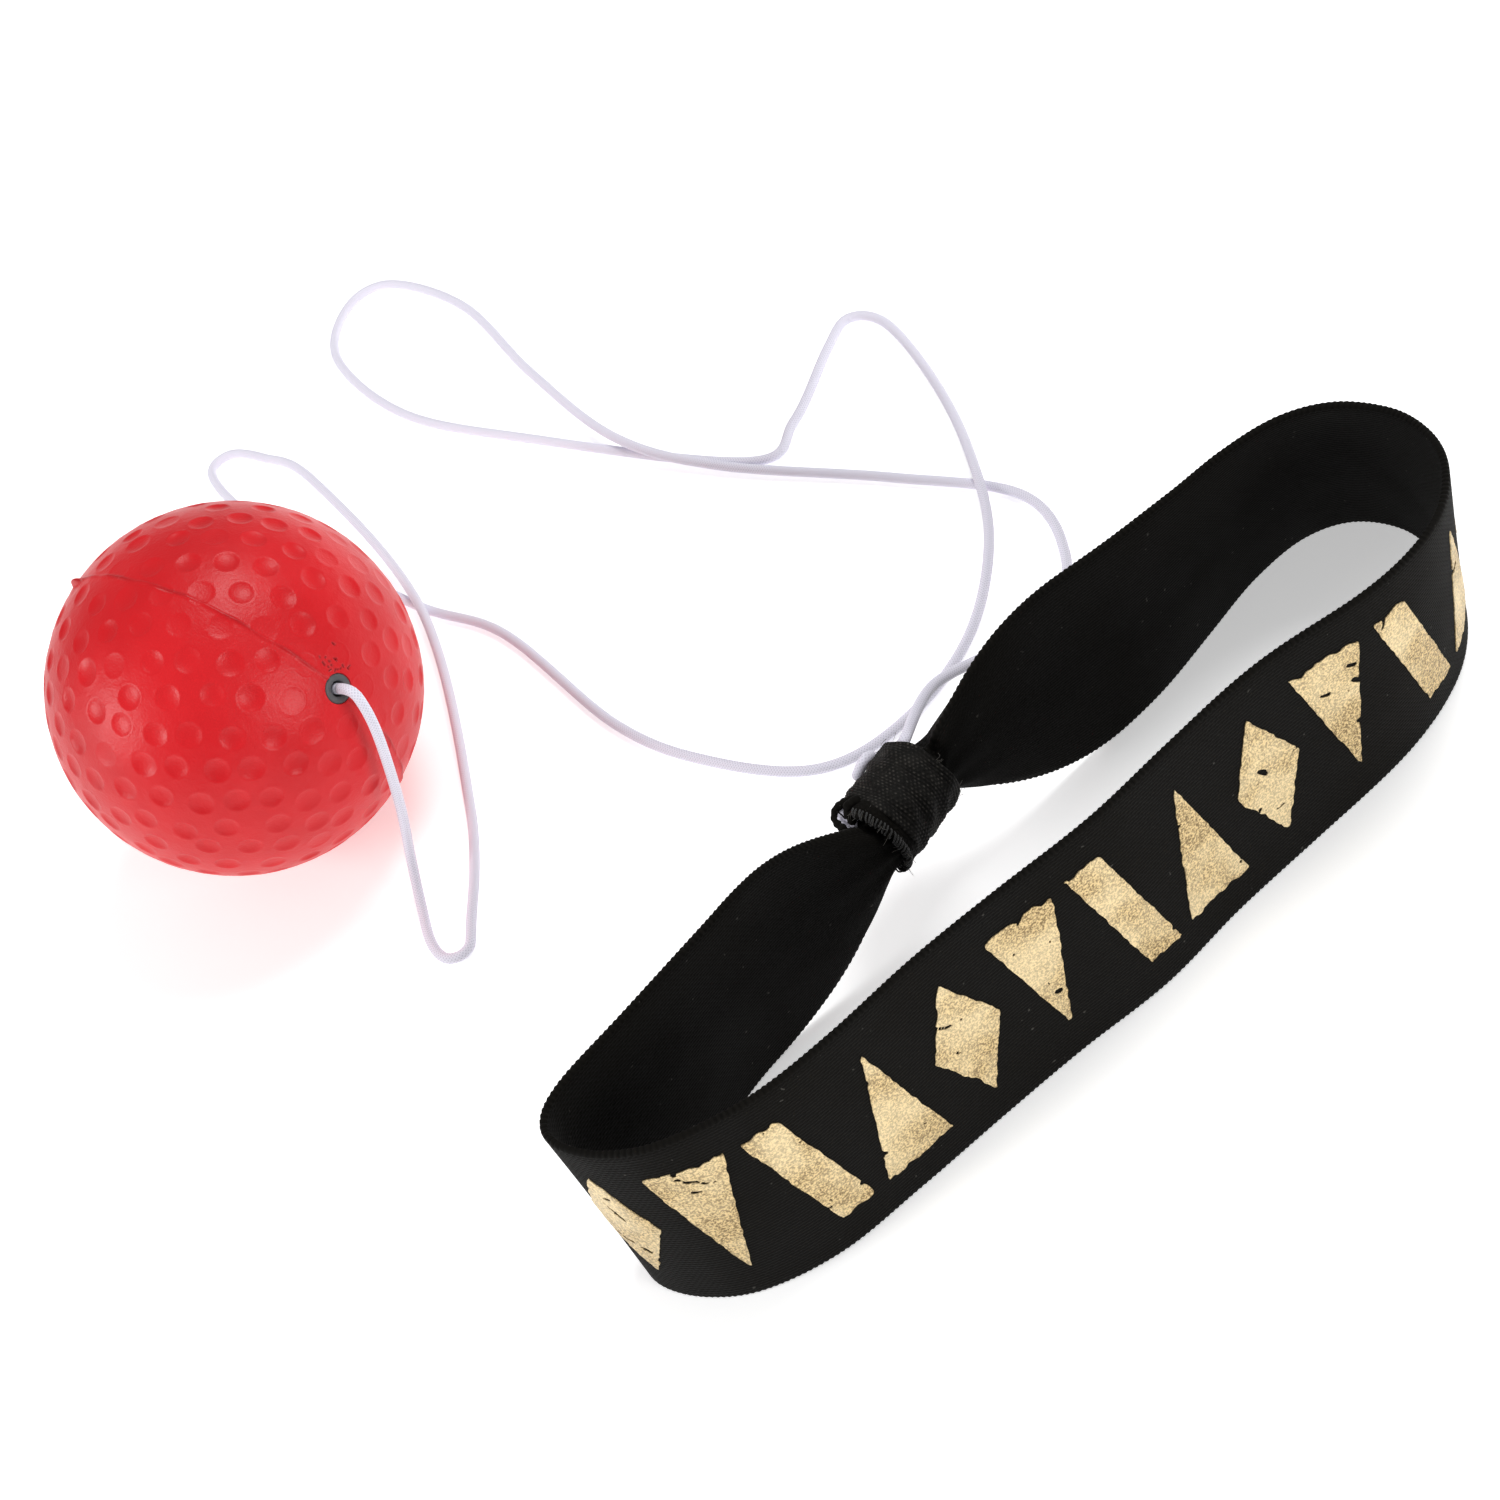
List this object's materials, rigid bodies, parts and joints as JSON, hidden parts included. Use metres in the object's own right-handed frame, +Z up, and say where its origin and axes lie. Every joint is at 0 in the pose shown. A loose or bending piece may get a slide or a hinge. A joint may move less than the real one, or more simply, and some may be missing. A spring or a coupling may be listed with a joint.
{
  "type": "reflex ball headband",
  "caption": "Elastic headband loop with a gathered joint in a keeper sleeve and a dimpled foam ball on a long thin elastic cord.",
  "frame": {"origin": "middle of the headband and ball's footprint, on the table they rest on", "axes": "+Z up from the table, +X along the headband's long way to its right end, +Y away from the printed front towards the loose cord"},
  "size_m": [0.2093, 0.2666, 0.0634],
  "materials": {
    "webbing": "black elastic webbing, fine woven twill",
    "tape": "black ribbed elastic tape",
    "thread": "black sewing thread",
    "foil": "gold transfer foil, cracked and worn",
    "cord": "white elastic cord with a fine knitted cover",
    "foam": "red moulded soft polyurethane foam, soft sheen",
    "liner": "dark grey soft plastic tube"
  },
  "bodies": {
    "headband": {"headband_webbing": "webbing", "webbing_lap_end": "webbing", "lap_stitching": "thread", "foil_print": "foil", "keeper_sleeve": "tape", "keeper_stitching": "thread", "cord_in_sleeve": "cord", "anchor_knot": "cord", "anchor_tail": "cord"},
    "cord": {"cord_run": "cord", "cord_in_ball": "cord", "stop_knot": "cord"},
    "ball": {"ball_foam": "foam", "liner_tube": "liner"}
  },
  "joints": [
    {"name": "cord_swing", "type": "hinge", "parent": "headband", "child": "cord", "pos_m": [0.0154, -0.02825, 0.02347], "axis": [0, 0, 1], "range_deg": [-15, 40], "deforming": ["cord_run"]},
    {"name": "ball_spin", "type": "hinge", "parent": "cord", "child": "ball", "pos_m": [-0.073, 0.055, 0.0317], "axis": [0.5485, -0.7834, 0.2924], "continuous": true}
  ]
}
